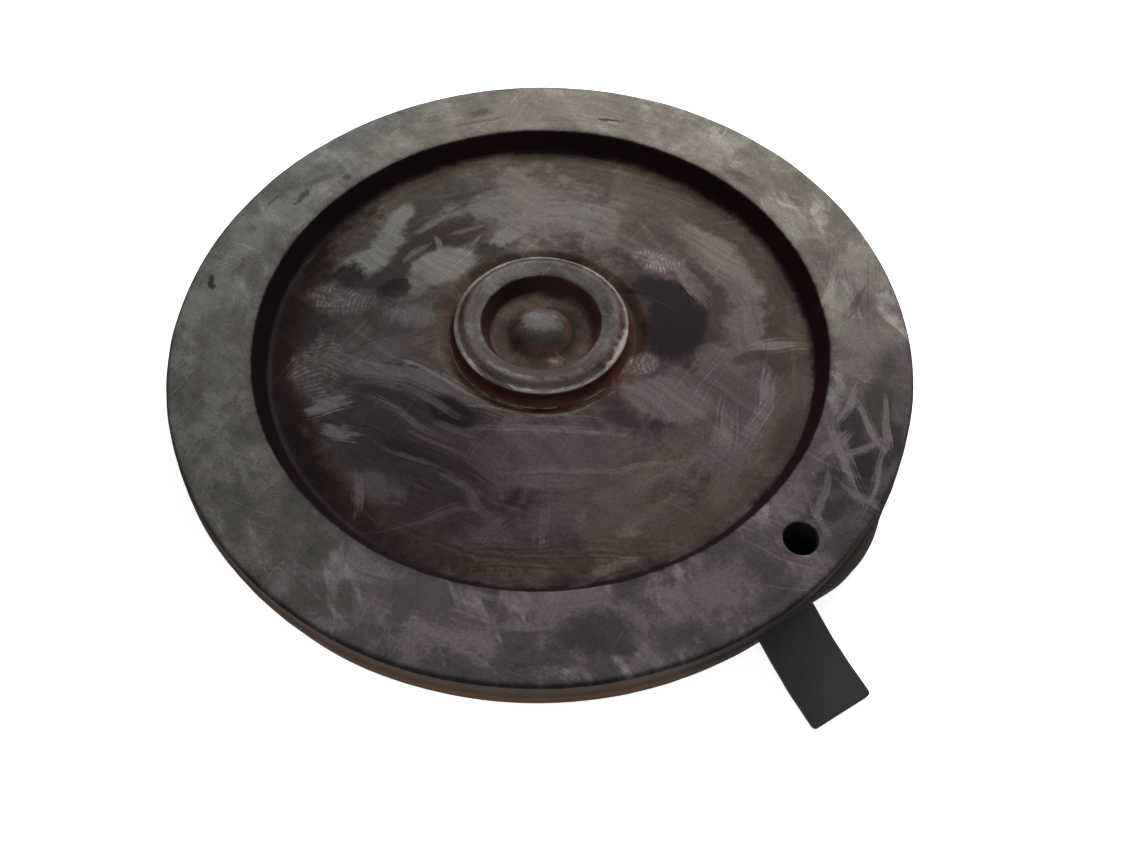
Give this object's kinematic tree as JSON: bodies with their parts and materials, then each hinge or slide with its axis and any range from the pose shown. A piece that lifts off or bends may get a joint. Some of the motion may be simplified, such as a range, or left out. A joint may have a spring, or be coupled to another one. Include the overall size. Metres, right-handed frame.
{
  "type": "water heater diaphragm",
  "caption": "Round moulded rubber diaphragm with a thick sealing rim, a thin conical web, a cupped centre hub, a water passage through the rim and a locating tab.",
  "frame": {"origin": "centre of the flat boss under the hub, on the disc's axis and on the plane that the rim's base rests on", "axes": "+Z along the disc's axis, out of the dished face with the cup; -Y towards the water passage in the rim, with the locating tab beside it"},
  "size_m": [0.0734, 0.0815, 0.0046],
  "materials": {
    "rubber": "matte black moulded rubber, dulled by a wiped film of grey talc and scale"
  },
  "bodies": {
    "root": {"diaphragm": "rubber"}
  },
  "joints": []
}
